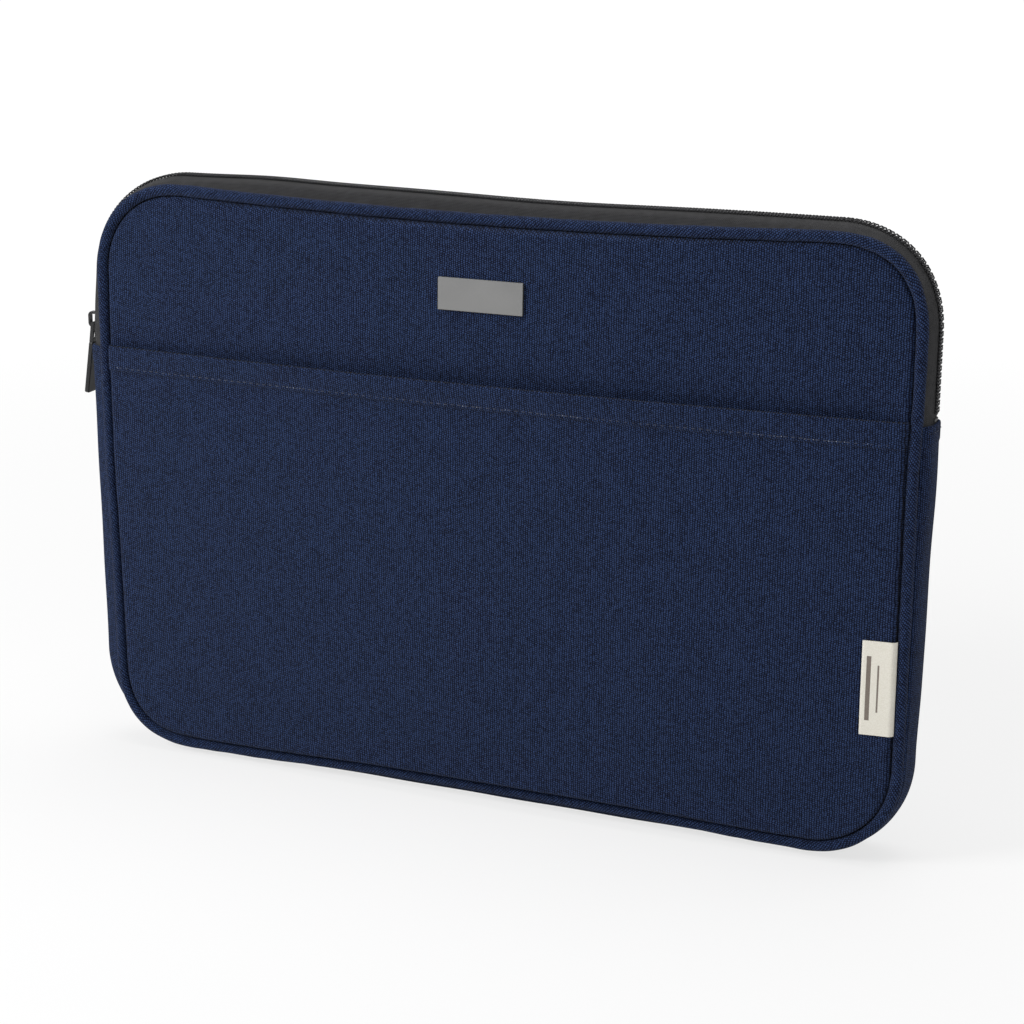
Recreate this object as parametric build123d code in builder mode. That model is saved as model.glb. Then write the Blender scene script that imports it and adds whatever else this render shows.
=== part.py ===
"""A padded laptop sleeve for a 14-inch laptop: canvas panels over foam, corded piping, a slip pocket,
a coil zipper along the top and a third of the way down both sides, a plate badge and a woven side label.

Millimetres. +X is the width, -Y is the front, +Z is up. The origin is the middle of the bottom face.
The front panel is in two halves that meet at the flex line, where the lip of the mouth bends forward.
"""

import math
import os

from build123d import *

# ---- driving dimensions -------------------------------------------------------------------------
PANEL_W = 341.0  # seam line of a panel, side to side
PANEL_H = 236.0  # seam line of a panel, bottom to top
PANEL_R = 34.0  # corner radius of the seam line
GUSSET_CREST = 7.5  # how far the gusset stands out past the seam line
SEAM_Y = 13.0  # a panel's outer face at its corners, from the mid plane
CROWN = 5.5  # how much further out the middle of a panel is than its corners
FLEX_Z = 180.0  # height of the line where the lip bends
FLEX_GAP = 0.4  # room between the two halves at that line
FLEX_AXIS_Y = -18.3  # the bend's axis, just in front of the front canvas

CANVAS = 0.8  # cloth thickness
FOAM = 4.0
LINING = 0.4
PLY_GAP = 0.1  # between plies of one panel

POCKET_TOP = 179.3  # upper edge of the slip pocket
HEM_H = 10.0  # depth of its turned hem
POCKET_GAP = 0.3  # between the pocket and the panel behind it
STITCH_PITCH = 3.0
STITCH = (2.0, 0.3, 0.5)  # length, thickness and width of one stitch

PIPING_R = 2.6  # outside of the covered cord
PIPING_CORE_R = 1.65
PIPING_OFF = 2.75  # cord's centreline outside the seam line
PIPING_Y = 12.0  # cord's centreline from the mid plane

GUSSET_WALL = 0.9
GUSSET_TOP = 177.0  # where the canvas gusset ends and the zipper shows
CREST_HALF = 6.0  # half width of the gusset's flat crest
FOOT_HALF = 9.2  # half width of the gusset at its seams
FOOT_DROP = 2.6  # how far the gusset falls back from crest to seam
LEFT_BULGE = 3.5  # how much further the gusset and zipper stand out on the left side
BINDING = (0.2, 2.6)  # seam binding, from and to these offsets outside the seam line
BINDING_Y = (6.8, 9.2)

TAPE_CREST = 5.6
TAPE_FOOT_DROP = 2.2
TAPE_WALL = 0.6
TAPE_GAP = 1.0  # half the gap between the two tapes
TAPE_TAIL_Z = 170.0  # how far down the tape runs inside the gusset
COIL = (5.65, 7.4)  # coil, from and to these offsets outside the seam line
COIL_Y = (0.5, 2.9)
COIL_END_Z = 180.4

SLIDER_Z = (179.0, 191.0)
SLIDER_HALF = (4.4, 3.4)  # half width at the shoulders and at the tail
TOP_PLATE = (7.7, 9.0)
BOTTOM_PLATE = (3.6, 4.7)
WEB_HALF = 0.35
SLOT_RIM = (4.9, 5.85)  # slot that the rear tape runs in, between the slider's flanges
BAIL_Z = (183.0, 190.0)
BAIL_TOP = 13.9
BAIL_WALL = 1.1
BAIL_HALF = 1.0
PIVOT_OFF = 10.9
PIVOT_Z = 185.0
PULL_LEAN = 7.5  # degrees that the hanging pull stands off vertical
PULL_LENGTH = 30.5
LINK_LENGTH = 8.0
LINK_HALF = 2.6
LINK_ARM = 1.2
LINK_BAR_R = 0.75
TAB_HALF = (2.6, 3.1)  # half width at its head and at its foot
TAB_THICK = 2.0

BADGE = (36.0, 13.0, 1.0)
BADGE_Z = 214.0
BADGE_BACK = (30.0, 9.0, 0.5)
PRONG_X = 12.0
PRONG = (0.5, 3.0)

LABEL_X = (156.2, 169.6)
LABEL_Z = (56.0, 94.0)
LABEL_THICK = 0.5
LABEL_GAP = 0.35  # between the label and the pocket under it

# ---- worked out ---------------------------------------------------------------------------------
MID_Z = PANEL_H / 2 + GUSSET_CREST
CORNER_REACH = math.hypot(PANEL_W / 2 - PANEL_R, PANEL_H / 2 - PANEL_R) + PANEL_R
DOME_R = CORNER_REACH**2 / (2 * CROWN) + CROWN / 2
DOME_CENTRE_Y = DOME_R - SEAM_Y - CROWN
HALF_W = PANEL_W / 2
HALF_H = PANEL_H / 2
LEFT = -HALF_W - LEFT_BULGE  # line of the left side that the zipper's offsets count from
BIG = 400.0

FRONT = -1
BACK = 1

os.makedirs("parts", exist_ok=True)


def save(part, name):
    """Labels a finished piece and writes its STEP file."""
    part.label = name
    export_step(part, f"parts/{name}.step")


def seam_plane(y):
    """The XZ plane at depth y, with its origin at the panel's middle height."""
    return Plane(origin=(0, y, MID_Z), x_dir=(1, 0, 0), z_dir=(0, -1, 0))


def outline(offset):
    """The seam line's rounded rectangle, grown by an offset."""
    RectangleRounded(PANEL_W + 2 * offset, PANEL_H + 2 * offset, PANEL_R + offset)


def crest_outline(offset):
    """The same, with its left side a bulge further out, where the gusset and the zipper stand off."""
    with Locations((-LEFT_BULGE / 2, 0)):
        RectangleRounded(PANEL_W + 2 * offset + LEFT_BULGE, PANEL_H + 2 * offset, PANEL_R + offset)


def dome_y(x, z, lift=0.0):
    """Depth of the front dome, lifted off the canvas, at a place on the panel."""
    reach_2 = x**2 + (z - MID_Z) ** 2
    return DOME_CENTRE_Y - math.sqrt((DOME_R + lift) ** 2 - reach_2)


def keep_band(part, low=None, high=None):
    """The stretch of a piece between two heights."""
    with BuildPart() as piece:
        add(part)
        if low is not None:
            split(bisect_by=Plane.XY.offset(low), keep=Keep.TOP)
        if high is not None:
            split(bisect_by=Plane.XY.offset(high), keep=Keep.BOTTOM)
    return piece.part


def lower(part):
    """What stays on the sleeve's body, below the flex line."""
    return keep_band(part, high=FLEX_Z - FLEX_GAP / 2)


def upper(part):
    """What bends with the lip, above the flex line."""
    return keep_band(part, low=FLEX_Z + FLEX_GAP / 2)


def dome_ply(side, lift, thickness, inset=0.0):
    """One ply of a crowned panel: the seam line's shape between two concentric spheres."""
    with BuildPart() as ply:
        with BuildSketch(seam_plane(0)):
            outline(-inset)
        extrude(amount=-side * 2 * (SEAM_Y + CROWN))
        with Locations((0, -side * DOME_CENTRE_Y, MID_Z)):
            Sphere(DOME_R + lift, mode=Mode.INTERSECT)
            Sphere(DOME_R + lift - thickness, mode=Mode.SUBTRACT)
    return ply.part


def piping_tube(side, radius, bore):
    """A round cord, or its cover where there is a bore, all round one panel."""
    with BuildSketch(seam_plane(side * PIPING_Y)) as course:
        outline(PIPING_OFF)
    path = course.sketch.faces()[0].outer_wire()
    with BuildPart() as tube:
        with BuildSketch(Plane(origin=path @ 0, z_dir=path % 0)):
            Circle(radius)
            if bore:
                Circle(bore, mode=Mode.SUBTRACT)
        sweep(path=path)
    return tube.part


def tented_body(crest, drop):
    """A closed body whose rim is flat across the crest and falls back to both seams."""
    with BuildPart() as body:
        with BuildSketch(seam_plane(CREST_HALF)):
            crest_outline(crest)
        extrude(amount=2 * CREST_HALF)
        for side in (FRONT, BACK):
            with BuildSketch(seam_plane(side * CREST_HALF)):
                crest_outline(crest)
            with BuildSketch(seam_plane(side * FOOT_HALF)):
                outline(crest - drop)
            loft()
    return body.part


def tented_band(crest, drop, wall):
    """A strip of cloth that runs all round the sleeve between the two seams."""
    with BuildPart() as band:
        add(tented_body(crest, drop))
        add(tented_body(crest - wall, drop), mode=Mode.SUBTRACT)
    return band.part


def half_band(part, side, gap):
    """The front or the back half of a strip, short of the mid plane by a gap."""
    with BuildPart() as half:
        add(part)
        cut = Plane.XZ.offset(-side * gap)
        split(bisect_by=cut, keep=Keep.TOP if side == FRONT else Keep.BOTTOM)
    return half.part


def flat_ring(inner, outer, y_low, y_high, course=outline):
    """A ring of rectangular section round the seam line, between two depths."""
    with BuildPart() as ring:
        with BuildSketch(seam_plane(y_high)):
            course(outer)
            with BuildSketch(seam_plane(y_high), mode=Mode.SUBTRACT):
                course(inner)
        extrude(amount=y_high - y_low)
    return ring.part


# ---- badge: a plate with two prongs clenched over a backing plate ---------------------------------
BADGE_AT = (0, dome_y(0, BADGE_Z), BADGE_Z)
BADGE_TILT = math.asin((BADGE_Z - MID_Z) / DOME_R)
BADGE_NORMAL = (0, -math.cos(BADGE_TILT), math.sin(BADGE_TILT))
BADGE_PLANE = Plane(origin=BADGE_AT, x_dir=(1, 0, 0), z_dir=BADGE_NORMAL)
BADGE_REAR = 0.12
BACK_PLATE_DEPTH = -1.0
CLENCH_DEPTH = -1.55
CLENCH_LENGTH = 3.0
SLOT_ROOM = 0.2

with BuildPart() as badge_plate:
    with BuildSketch(BADGE_PLANE.offset(BADGE_REAR)):
        RectangleRounded(BADGE[0], BADGE[1], 0.5)
    extrude(amount=BADGE[2])
    chamfer(badge_plate.edges().group_by(Axis.Y)[0], 0.2)
    with BuildSketch(BADGE_PLANE.offset(BADGE_REAR)):
        with Locations((-PRONG_X, 0), (PRONG_X, 0)):
            Rectangle(*PRONG)
    extrude(amount=CLENCH_DEPTH - PRONG[0] - BADGE_REAR)
    with BuildSketch(BADGE_PLANE.offset(CLENCH_DEPTH)):
        for hand in (-1, 1):
            with Locations((hand * (PRONG_X - CLENCH_LENGTH / 2), 0)):
                Rectangle(CLENCH_LENGTH, PRONG[1])
    extrude(amount=-PRONG[0])
save(badge_plate.part, "badge_plate")

with BuildPart() as badge_backing_plate:
    with BuildSketch(BADGE_PLANE.offset(BACK_PLATE_DEPTH)):
        RectangleRounded(BADGE_BACK[0], BADGE_BACK[1], 1.0)
        with Locations((-PRONG_X, 0), (PRONG_X, 0)):
            Rectangle(PRONG[0] + SLOT_ROOM, PRONG[1] + SLOT_ROOM, mode=Mode.SUBTRACT)
    extrude(amount=-BADGE_BACK[2])
save(badge_backing_plate.part, "badge_backing_plate")

# ---- front panel: canvas, foam and lining, in a lower half and a lip -------------------------------
front_canvas = dome_ply(FRONT, 0, CANVAS)
save(lower(front_canvas), "front_canvas_lower")

with BuildPart() as front_canvas_upper:
    add(upper(front_canvas))
    with BuildSketch(BADGE_PLANE.offset(1)):
        with Locations((-PRONG_X, 0), (PRONG_X, 0)):
            Rectangle(PRONG[0] + SLOT_ROOM, PRONG[1] + SLOT_ROOM)
    extrude(amount=-3, mode=Mode.SUBTRACT)
save(front_canvas_upper.part, "front_canvas_upper")

foam_lift = -(CANVAS + PLY_GAP)
front_foam = dome_ply(FRONT, foam_lift, FOAM)
save(lower(front_foam), "front_foam_lower")

with BuildPart() as front_foam_upper:
    add(upper(front_foam))
    with BuildSketch(BADGE_PLANE):
        Rectangle(BADGE_BACK[0] + 1, BADGE_BACK[1] + 1)
    extrude(amount=CLENCH_DEPTH - PRONG[0] - SLOT_ROOM, mode=Mode.SUBTRACT)
save(front_foam_upper.part, "front_foam_upper")

lining_lift = foam_lift - FOAM - PLY_GAP
front_lining = dome_ply(FRONT, lining_lift, LINING)
save(lower(front_lining), "front_lining_lower")
save(upper(front_lining), "front_lining_upper")

# ---- back panel ------------------------------------------------------------------------------------
save(dome_ply(BACK, 0, CANVAS), "back_canvas")
save(dome_ply(BACK, foam_lift, FOAM), "back_foam")
save(dome_ply(BACK, lining_lift, LINING), "back_lining")

# ---- slip pocket on the front ----------------------------------------------------------------------
pocket_lift = POCKET_GAP + CANVAS
hem_lift = POCKET_GAP + 2 * CANVAS
hem_low = POCKET_TOP - HEM_H
pocket_ply = dome_ply(FRONT, pocket_lift, CANVAS)
save(keep_band(pocket_ply, high=hem_low - PLY_GAP), "pocket_panel")
hem_ply = dome_ply(FRONT, hem_lift, 2 * CANVAS)
save(keep_band(hem_ply, low=hem_low, high=POCKET_TOP), "pocket_hem")


with BuildPart() as pocket_hem_stitching:
    stitch_z = hem_low + 1.2
    stitch_count = int((PANEL_W - 10) / STITCH_PITCH)
    stitch_row = [(number - (stitch_count - 1) / 2) * STITCH_PITCH for number in range(stitch_count)]
    with Locations([(x, dome_y(x, stitch_z, hem_lift) - STITCH[1], stitch_z) for x in stitch_row]):
        Box(*STITCH)
save(pocket_hem_stitching.part, "pocket_hem_stitching")

# ---- piping: a cord in a canvas cover round each panel ----------------------------------------------
front_cover = piping_tube(FRONT, PIPING_R, PIPING_CORE_R)
save(lower(front_cover), "front_piping_cover_lower")
save(upper(front_cover), "front_piping_cover_upper")
front_cord = piping_tube(FRONT, PIPING_CORE_R - PLY_GAP, 0)
save(lower(front_cord), "front_piping_cord_lower")
save(upper(front_cord), "front_piping_cord_upper")
save(piping_tube(BACK, PIPING_R, PIPING_CORE_R), "back_piping_cover")
save(piping_tube(BACK, PIPING_CORE_R - PLY_GAP, 0), "back_piping_cord")

# ---- seam binding inside -----------------------------------------------------------------------------
front_binding = flat_ring(*BINDING, -BINDING_Y[1], -BINDING_Y[0])
save(lower(front_binding), "front_seam_binding_lower")
save(upper(front_binding), "front_seam_binding_upper")
save(flat_ring(*BINDING, *BINDING_Y), "back_seam_binding")

# ---- gusset: canvas round the bottom and up both sides, lined ------------------------------------------
save(keep_band(tented_band(GUSSET_CREST, FOOT_DROP, GUSSET_WALL), high=GUSSET_TOP), "gusset_canvas")
lining_crest = GUSSET_CREST - GUSSET_WALL - PLY_GAP
save(keep_band(tented_band(lining_crest, FOOT_DROP, LINING), high=GUSSET_TOP - 1), "gusset_lining")

with BuildPart() as gusset_end_stitching:
    end_x = GUSSET_CREST + STITCH[1]
    for crest_x in (LEFT - end_x, HALF_W + end_x):
        with Locations([(crest_x, (n - 1.5) * STITCH_PITCH, GUSSET_TOP - 2.5) for n in range(4)]):
            Box(STITCH[1], STITCH[0], STITCH[2])
save(gusset_end_stitching.part, "gusset_end_stitching")

# ---- zipper: two tapes, two coils and their stops -------------------------------------------------------
tape = tented_band(TAPE_CREST, TAPE_FOOT_DROP, TAPE_WALL)
save(keep_band(half_band(tape, BACK, TAPE_GAP), low=TAPE_TAIL_Z), "zipper_tape_back")
tape_front = half_band(tape, FRONT, TAPE_GAP)
save(upper(tape_front), "zipper_tape_front")
save(keep_band(tape_front, low=TAPE_TAIL_Z, high=FLEX_Z - FLEX_GAP / 2), "zipper_tape_front_tails")


def coil_row(side):
    """One row of the zipper's chain, from one end of the mouth to the other."""
    near, far = sorted((side * COIL_Y[0], side * COIL_Y[1]))
    return keep_band(flat_ring(*COIL, near, far, crest_outline), low=COIL_END_Z)


save(coil_row(FRONT), "zipper_coil_front")
save(coil_row(BACK), "zipper_coil_back")


def stop_block(hand, y, half_y):
    """A clamped stop on the tape, at one end of the chain."""
    middle = TAPE_CREST + 0.6
    middle = HALF_W + middle if hand > 0 else LEFT - middle
    with Locations((middle, y, GUSSET_TOP + 1.2)):
        Box(1.0, 2 * half_y, 1.2)


with BuildPart() as zipper_top_stops:
    stop_block(-1, -1.9, 0.8)
    stop_block(-1, 1.9, 0.8)
    fillet(zipper_top_stops.edges(), 0.3)
save(zipper_top_stops.part, "zipper_top_stops")

with BuildPart() as zipper_bottom_stop:
    stop_block(1, 0, 2.7)
    fillet(zipper_bottom_stop.edges(), 0.3)
save(zipper_bottom_stop.part, "zipper_bottom_stop")

# ---- slider: two plates and a web between the coils, and a bail for the pull ----------------------
def side_plane(offset):
    """The plane of the left side, an offset outside the bulged line: local x is -Y, local y is +Z."""
    return Plane(origin=(LEFT - offset, 0, 0), x_dir=(0, -1, 0), z_dir=(-1, 0, 0))


with BuildPart() as slider_body:
    shoulder, tail = SLIDER_HALF
    low, high = SLIDER_Z
    knee = low + 5.0
    for inner, outer in (BOTTOM_PLATE, TOP_PLATE):
        with BuildSketch(side_plane(inner)) as plate:
            with BuildLine():
                Polyline((-shoulder, knee), (-shoulder, low), (shoulder, low), (shoulder, knee))
                Polyline((shoulder, knee), (tail, high), (-tail, high), (-shoulder, knee))
            make_face()
            fillet(plate.vertices(), 1.0)
        extrude(amount=outer - inner)
    chamfer(slider_body.faces().sort_by(Axis.X)[0].edges(), 0.35)
    web_z = SLIDER_Z[0] + 3.5
    with BuildSketch(side_plane(BOTTOM_PLATE[1])):
        with Locations((0, web_z)):
            Rectangle(2 * WEB_HALF, 4.0)
    extrude(amount=TOP_PLATE[0] - BOTTOM_PLATE[1])
    flange_y = -(SLIDER_HALF[1] - 0.3)
    for inner, outer in ((BOTTOM_PLATE[1], SLOT_RIM[0]), (SLOT_RIM[1], TOP_PLATE[0])):
        with BuildSketch(side_plane(inner)):
            with Locations((flange_y, (SLIDER_Z[0] + SLIDER_Z[1]) / 2)):
                Rectangle(0.35, SLIDER_Z[1] - SLIDER_Z[0] - 2.4)
        extrude(amount=outer - inner)
save(slider_body.part, "slider_body")

with BuildPart() as slider_bail:
    with BuildSketch(Plane.XZ) as arch:
        arch_low = LEFT - BAIL_TOP
        arch_high = LEFT - TOP_PLATE[1]
        with BuildLine():
            Polyline((arch_high, BAIL_Z[0]), (arch_low, BAIL_Z[0]), (arch_low, BAIL_Z[1]), (arch_high, BAIL_Z[1]))
            Line((arch_high, BAIL_Z[1]), (arch_high, BAIL_Z[0]))
        make_face()
        fillet(arch.vertices().group_by(Axis.X)[0], 2.0)
        with Locations((arch_high, (BAIL_Z[0] + BAIL_Z[1]) / 2)):
            room = 2 * (BAIL_TOP - TOP_PLATE[1] - BAIL_WALL)
            Rectangle(room, BAIL_Z[1] - BAIL_Z[0] - 2 * BAIL_WALL, mode=Mode.SUBTRACT)
    extrude(amount=BAIL_HALF, both=True)
    fillet(slider_bail.edges().filter_by(GeomType.CIRCLE), 0.3)
save(slider_bail.part, "slider_bail")

# ---- pull: a link on the bail and a tab that hangs from it -----------------------------------------
lean = math.radians(PULL_LEAN)
PULL_PLANE = Plane(
    origin=(LEFT - PIVOT_OFF, 0, PIVOT_Z),
    x_dir=(0, 1, 0),
    z_dir=(-math.cos(lean), 0, math.sin(lean)),
)

with BuildPart() as pull_link:
    with BuildSketch(Plane(origin=PULL_PLANE.origin + Vector(0, -LINK_HALF, 0), z_dir=(0, 1, 0))):
        Circle(LINK_BAR_R)
    extrude(amount=2 * LINK_HALF)
    with BuildSketch(PULL_PLANE):
        for hand in (-1, 1):
            with Locations((hand * (LINK_HALF - LINK_ARM / 2), LINK_LENGTH / 2)):
                Rectangle(LINK_ARM, LINK_LENGTH)
        with Locations((0, LINK_LENGTH - LINK_ARM / 2)):
            Rectangle(2 * LINK_HALF, LINK_ARM)
    extrude(amount=LINK_BAR_R, both=True)
save(pull_link.part, "pull_link")

with BuildPart() as pull_tab:
    with BuildSketch(PULL_PLANE) as blank:
        head, foot = TAB_HALF
        with BuildLine():
            Polyline((-head, LINK_LENGTH), (head, LINK_LENGTH), (foot, PULL_LENGTH), (-foot, PULL_LENGTH))
            Line((-foot, PULL_LENGTH), (-head, LINK_LENGTH))
        make_face()
        fillet(blank.vertices(), 0.9)
    extrude(amount=TAB_THICK / 2, both=True)
    fillet(pull_tab.edges().filter_by(lambda edge: abs((edge % 0.5).dot(PULL_PLANE.z_dir)) < 0.1), 0.4)
save(pull_tab.part, "pull_tab")

# ---- side label: a folded strip sewn into the side seam --------------------------------------------
label_ply = dome_ply(FRONT, pocket_lift + LABEL_GAP + LABEL_THICK, LABEL_THICK)
with BuildPart() as side_label:
    add(label_ply)
    with BuildSketch(seam_plane(0)):
        with Locations(((LABEL_X[0] + LABEL_X[1]) / 2, (LABEL_Z[0] + LABEL_Z[1]) / 2 - MID_Z)):
            Rectangle(LABEL_X[1] - LABEL_X[0], LABEL_Z[1] - LABEL_Z[0])
    extrude(amount=2 * SEAM_Y, mode=Mode.INTERSECT)
save(side_label.part, "side_label")
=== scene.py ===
"""Looks of a padded canvas laptop sleeve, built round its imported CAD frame.

Metres. +X is the width, -Y the front, +Z up, and the sleeve stands on its bottom gusset at z = 0.
Every soft piece is a surface worked out from the seam line, which is the rounded rectangle where a panel,
its piping and the gusset or zipper meet.
"""

import math

import bmesh
import bpy
import numpy as np
from mathutils import Matrix, Vector


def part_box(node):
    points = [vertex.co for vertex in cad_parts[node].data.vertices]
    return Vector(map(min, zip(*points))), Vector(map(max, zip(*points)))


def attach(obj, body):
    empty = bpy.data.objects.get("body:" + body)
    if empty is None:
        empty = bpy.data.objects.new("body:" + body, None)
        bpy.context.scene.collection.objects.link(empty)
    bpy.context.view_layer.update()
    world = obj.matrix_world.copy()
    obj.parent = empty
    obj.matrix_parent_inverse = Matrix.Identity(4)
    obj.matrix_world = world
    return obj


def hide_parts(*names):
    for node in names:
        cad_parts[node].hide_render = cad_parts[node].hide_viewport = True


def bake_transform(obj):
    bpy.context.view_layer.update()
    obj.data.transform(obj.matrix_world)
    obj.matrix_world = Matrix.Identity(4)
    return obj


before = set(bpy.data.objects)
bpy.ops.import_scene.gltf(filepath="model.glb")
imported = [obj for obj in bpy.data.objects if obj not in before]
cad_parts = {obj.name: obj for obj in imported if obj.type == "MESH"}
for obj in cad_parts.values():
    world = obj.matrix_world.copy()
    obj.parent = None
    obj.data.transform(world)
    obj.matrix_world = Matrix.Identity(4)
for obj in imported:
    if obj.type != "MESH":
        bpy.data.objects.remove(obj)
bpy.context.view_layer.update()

MM = 0.001

# ---- the seam line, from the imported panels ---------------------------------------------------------
PANEL_LOW, PANEL_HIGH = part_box("back_canvas")
HALF_W = PANEL_HIGH[0]
HALF_H = (PANEL_HIGH[2] - PANEL_LOW[2]) / 2
MID_Z = (PANEL_HIGH[2] + PANEL_LOW[2]) / 2
CROWN_Y = PANEL_HIGH[1]  # depth of a panel's face at its middle
CORNER_Y = 13.0 * MM  # the same at its corners
CORNER_R = {"right_low": 34.0 * MM, "right_top": 32.0 * MM, "left_top": 33.0 * MM, "left_low": 34.0 * MM}
CORNERS = ("right_low", "right_top", "left_top", "left_low")
CORNER_REACH = math.hypot(HALF_W - 34 * MM, HALF_H - 34 * MM) + 34 * MM

# ---- plies, piping and gusset ------------------------------------------------------------------------
GROOVE_Y = 10.2 * MM  # bottom of the groove between panel and piping
ROLL_WIDTH = 2.2 * MM  # how far in from the seam a panel rounds over
PADDING = 4.9 * MM  # canvas and foam together
LINING = 0.45 * MM
PIPING_R = 2.25 * MM
PIPING_OFF = 2.45 * MM
PIPING_Y = 12.0 * MM
GUSSET_CREST = 7.5 * MM
GUSSET_DROP = 2.7 * MM
GUSSET_CREASE = 1.3 * MM
LEFT_BULGE = -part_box("gusset_canvas")[0][0] - HALF_W - GUSSET_CREST  # the left side stands further out
GUSSET_FOOT = 9.3 * MM
GUSSET_WALL = 0.9 * MM
GUSSET_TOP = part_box("gusset_canvas")[1][2]
TAPE_CREST = 5.85 * MM
TAPE_WALL = 0.6 * MM
TAPE_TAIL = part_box("zipper_tape_front_tails")[0][2]
COIL_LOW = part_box("zipper_coil_front")[0][2]
COIL_PITCH = 1.3 * MM
COIL_HALF = (1.0 * MM, 0.26 * MM)
COIL_OFF = 6.6 * MM
MONOFILAMENT_R = 0.3 * MM

# ---- pocket and label -----------------------------------------------------------------------------------
POCKET_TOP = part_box("pocket_hem")[1][2]
HEM_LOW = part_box("pocket_hem")[0][2]
POCKET_LIFT = 1.15 * MM
HEM_LIFT = 2.5 * MM
MOUTH_DIP = 1.5 * MM  # how far the pocket's mouth presses the panel in
POCKET_GAPE = 2.4 * MM  # how far the pocket's mouth stands off in its middle
STITCH_Z = HEM_LOW + 1.2 * MM
STITCH_PITCH = 3.0 * MM

# ---- how the cloth has settled, in metres outwards from the nominal seam ---------------------------------
TOP_SAG = 2.9 * MM  # the front's top seam hangs by this in the middle
SAG_REACH = 130 * MM  # and reaches its nominal height this far from the middle
BOTTOM_LIFT = 2.1 * MM  # the front's bottom seam rides up by this round its middle
LEFT_TUCK = 0.7 * MM  # the front's side seams are drawn in lower down
RIGHT_TUCK = 1.0 * MM
LEAN_BACK = 3.2 * MM  # how far back the lower left corner of the whole sleeve is bent
BACK_TUCK = 1.8 * MM  # the back panel is a little smaller than the front one
BACK_TUCK_RIGHT = 3.2 * MM  # and more so on the right
LEFT_SWELL = 2.4 * MM  # the left side stands out by this beyond its bulge, but not where the slider runs
CORNER_FRONT = {"right_low": 0.6 * MM, "right_top": 2.0 * MM, "left_top": 0.6 * MM, "left_low": 2.9 * MM}
CORNER_CREST = {"right_low": -0.4 * MM, "right_top": 0.8 * MM, "left_top": -0.4 * MM, "left_low": 0.4 * MM}
EASE_DEPTH = 34 * MM  # how far in from the seam the settling is felt


# ======================================================================================================
# shapes
# ======================================================================================================
def seam_course(s):
    """Places on the seam line, with the outward direction there.

    s goes from 0 at the middle of the bottom, by the right side, to 1. The line is a chain of straights and
    arcs walked at constant speed: on a straight the heading stays, on an arc it turns by the distance
    walked over the radius. Outwards is the heading turned a quarter to the right."""
    low_r, top_r = CORNER_R["right_low"], CORNER_R["right_top"]
    top_l, low_l = CORNER_R["left_top"], CORNER_R["left_low"]
    runs = (HALF_W - low_r, 2 * HALF_H - low_r - top_r, 2 * HALF_W - top_r - top_l)
    runs += (2 * HALF_H - top_l - low_l, HALF_W - low_l)
    radii = [CORNER_R[name] for name in CORNERS]
    lengths, bends = [], []
    for number, run in enumerate(runs):
        lengths.append(run)
        bends.append(0.0)
        if number < 4:
            lengths.append(radii[number] * math.pi / 2)
            bends.append(1 / radii[number])
    walked = np.concatenate([[0], np.cumsum(lengths)])
    distance = np.asarray(s, float) * walked[-1]
    x = np.zeros_like(distance)
    z = np.zeros_like(distance)
    heading = np.zeros_like(distance)
    at_x, at_z, at_heading = 0.0, MID_Z - HALF_H, 0.0
    for number, (length, bend) in enumerate(zip(lengths, bends)):
        here = (distance >= walked[number]) & (distance <= walked[number + 1] + 1e-9)
        steps = [distance[here] - walked[number], np.array([length])]
        for step, last in zip(steps, (False, True)):
            turned = at_heading + bend * step
            if bend:
                new_x = at_x + (np.sin(turned) - math.sin(at_heading)) / bend
                new_z = at_z - (np.cos(turned) - math.cos(at_heading)) / bend
            else:
                new_x = at_x + step * math.cos(at_heading)
                new_z = at_z + step * math.sin(at_heading)
            if last:
                at_x, at_z, at_heading = float(new_x[0]), float(new_z[0]), float(turned[0])
            else:
                x[here], z[here], heading[here] = new_x, new_z, turned
    out_x, out_z = np.sin(heading), -np.cos(heading)
    return x, z, out_x, out_z


def seam_length():
    """The seam line's length: four straights and four quarter circles."""
    radii = sum(CORNER_R.values())
    return 4 * (HALF_W + HALF_H) - 2 * radii + radii * math.pi / 2


SEAM_LENGTH = seam_length()


def share_at_height(z, side):
    """How far round the seam line its right (side 1) or left (side -1) straight passes a height."""
    radius = CORNER_R["right_low"] if side > 0 else CORNER_R["left_low"]
    walked = HALF_W - radius + radius * math.pi / 2 + (z - MID_Z + HALF_H - radius)
    share = walked / SEAM_LENGTH
    return share if side > 0 else 1 - share


def inside_seam(x, z):
    """How far a place lies inside the seam line: the distance to a rounded rectangle."""
    radius = np.where(
        x > 0,
        np.where(z > MID_Z, CORNER_R["right_top"], CORNER_R["right_low"]),
        np.where(z > MID_Z, CORNER_R["left_top"], CORNER_R["left_low"]),
    )
    past_x = np.abs(x) - HALF_W + radius
    past_z = np.abs(z - MID_Z) - HALF_H + radius
    beyond = np.hypot(np.maximum(past_x, 0), np.maximum(past_z, 0))
    return radius - beyond - np.minimum(np.maximum(past_x, past_z), 0)


def smooth(value):
    """Goes from 0 to 1 as the value does, level at both ends: three squares less two cubes."""
    value = np.clip(value, 0, 1)
    return value * value * (3 - 2 * value)


def ripple(x, z, seed):
    """Soft unevenness of cloth over foam, from -1 to 1: a sum of sines in several directions."""
    draw = np.random.default_rng(seed)
    total = np.zeros_like(x)
    for wave in (95, 70, 48, 33, 24):
        angle, phase = draw.uniform(0, math.pi), draw.uniform(0, 2 * math.pi)
        along = (x * math.cos(angle) + z * math.sin(angle)) / (wave * MM)
        total = total + np.sin(2 * math.pi * along + phase) * wave / 95
    return total / 2.6


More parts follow.
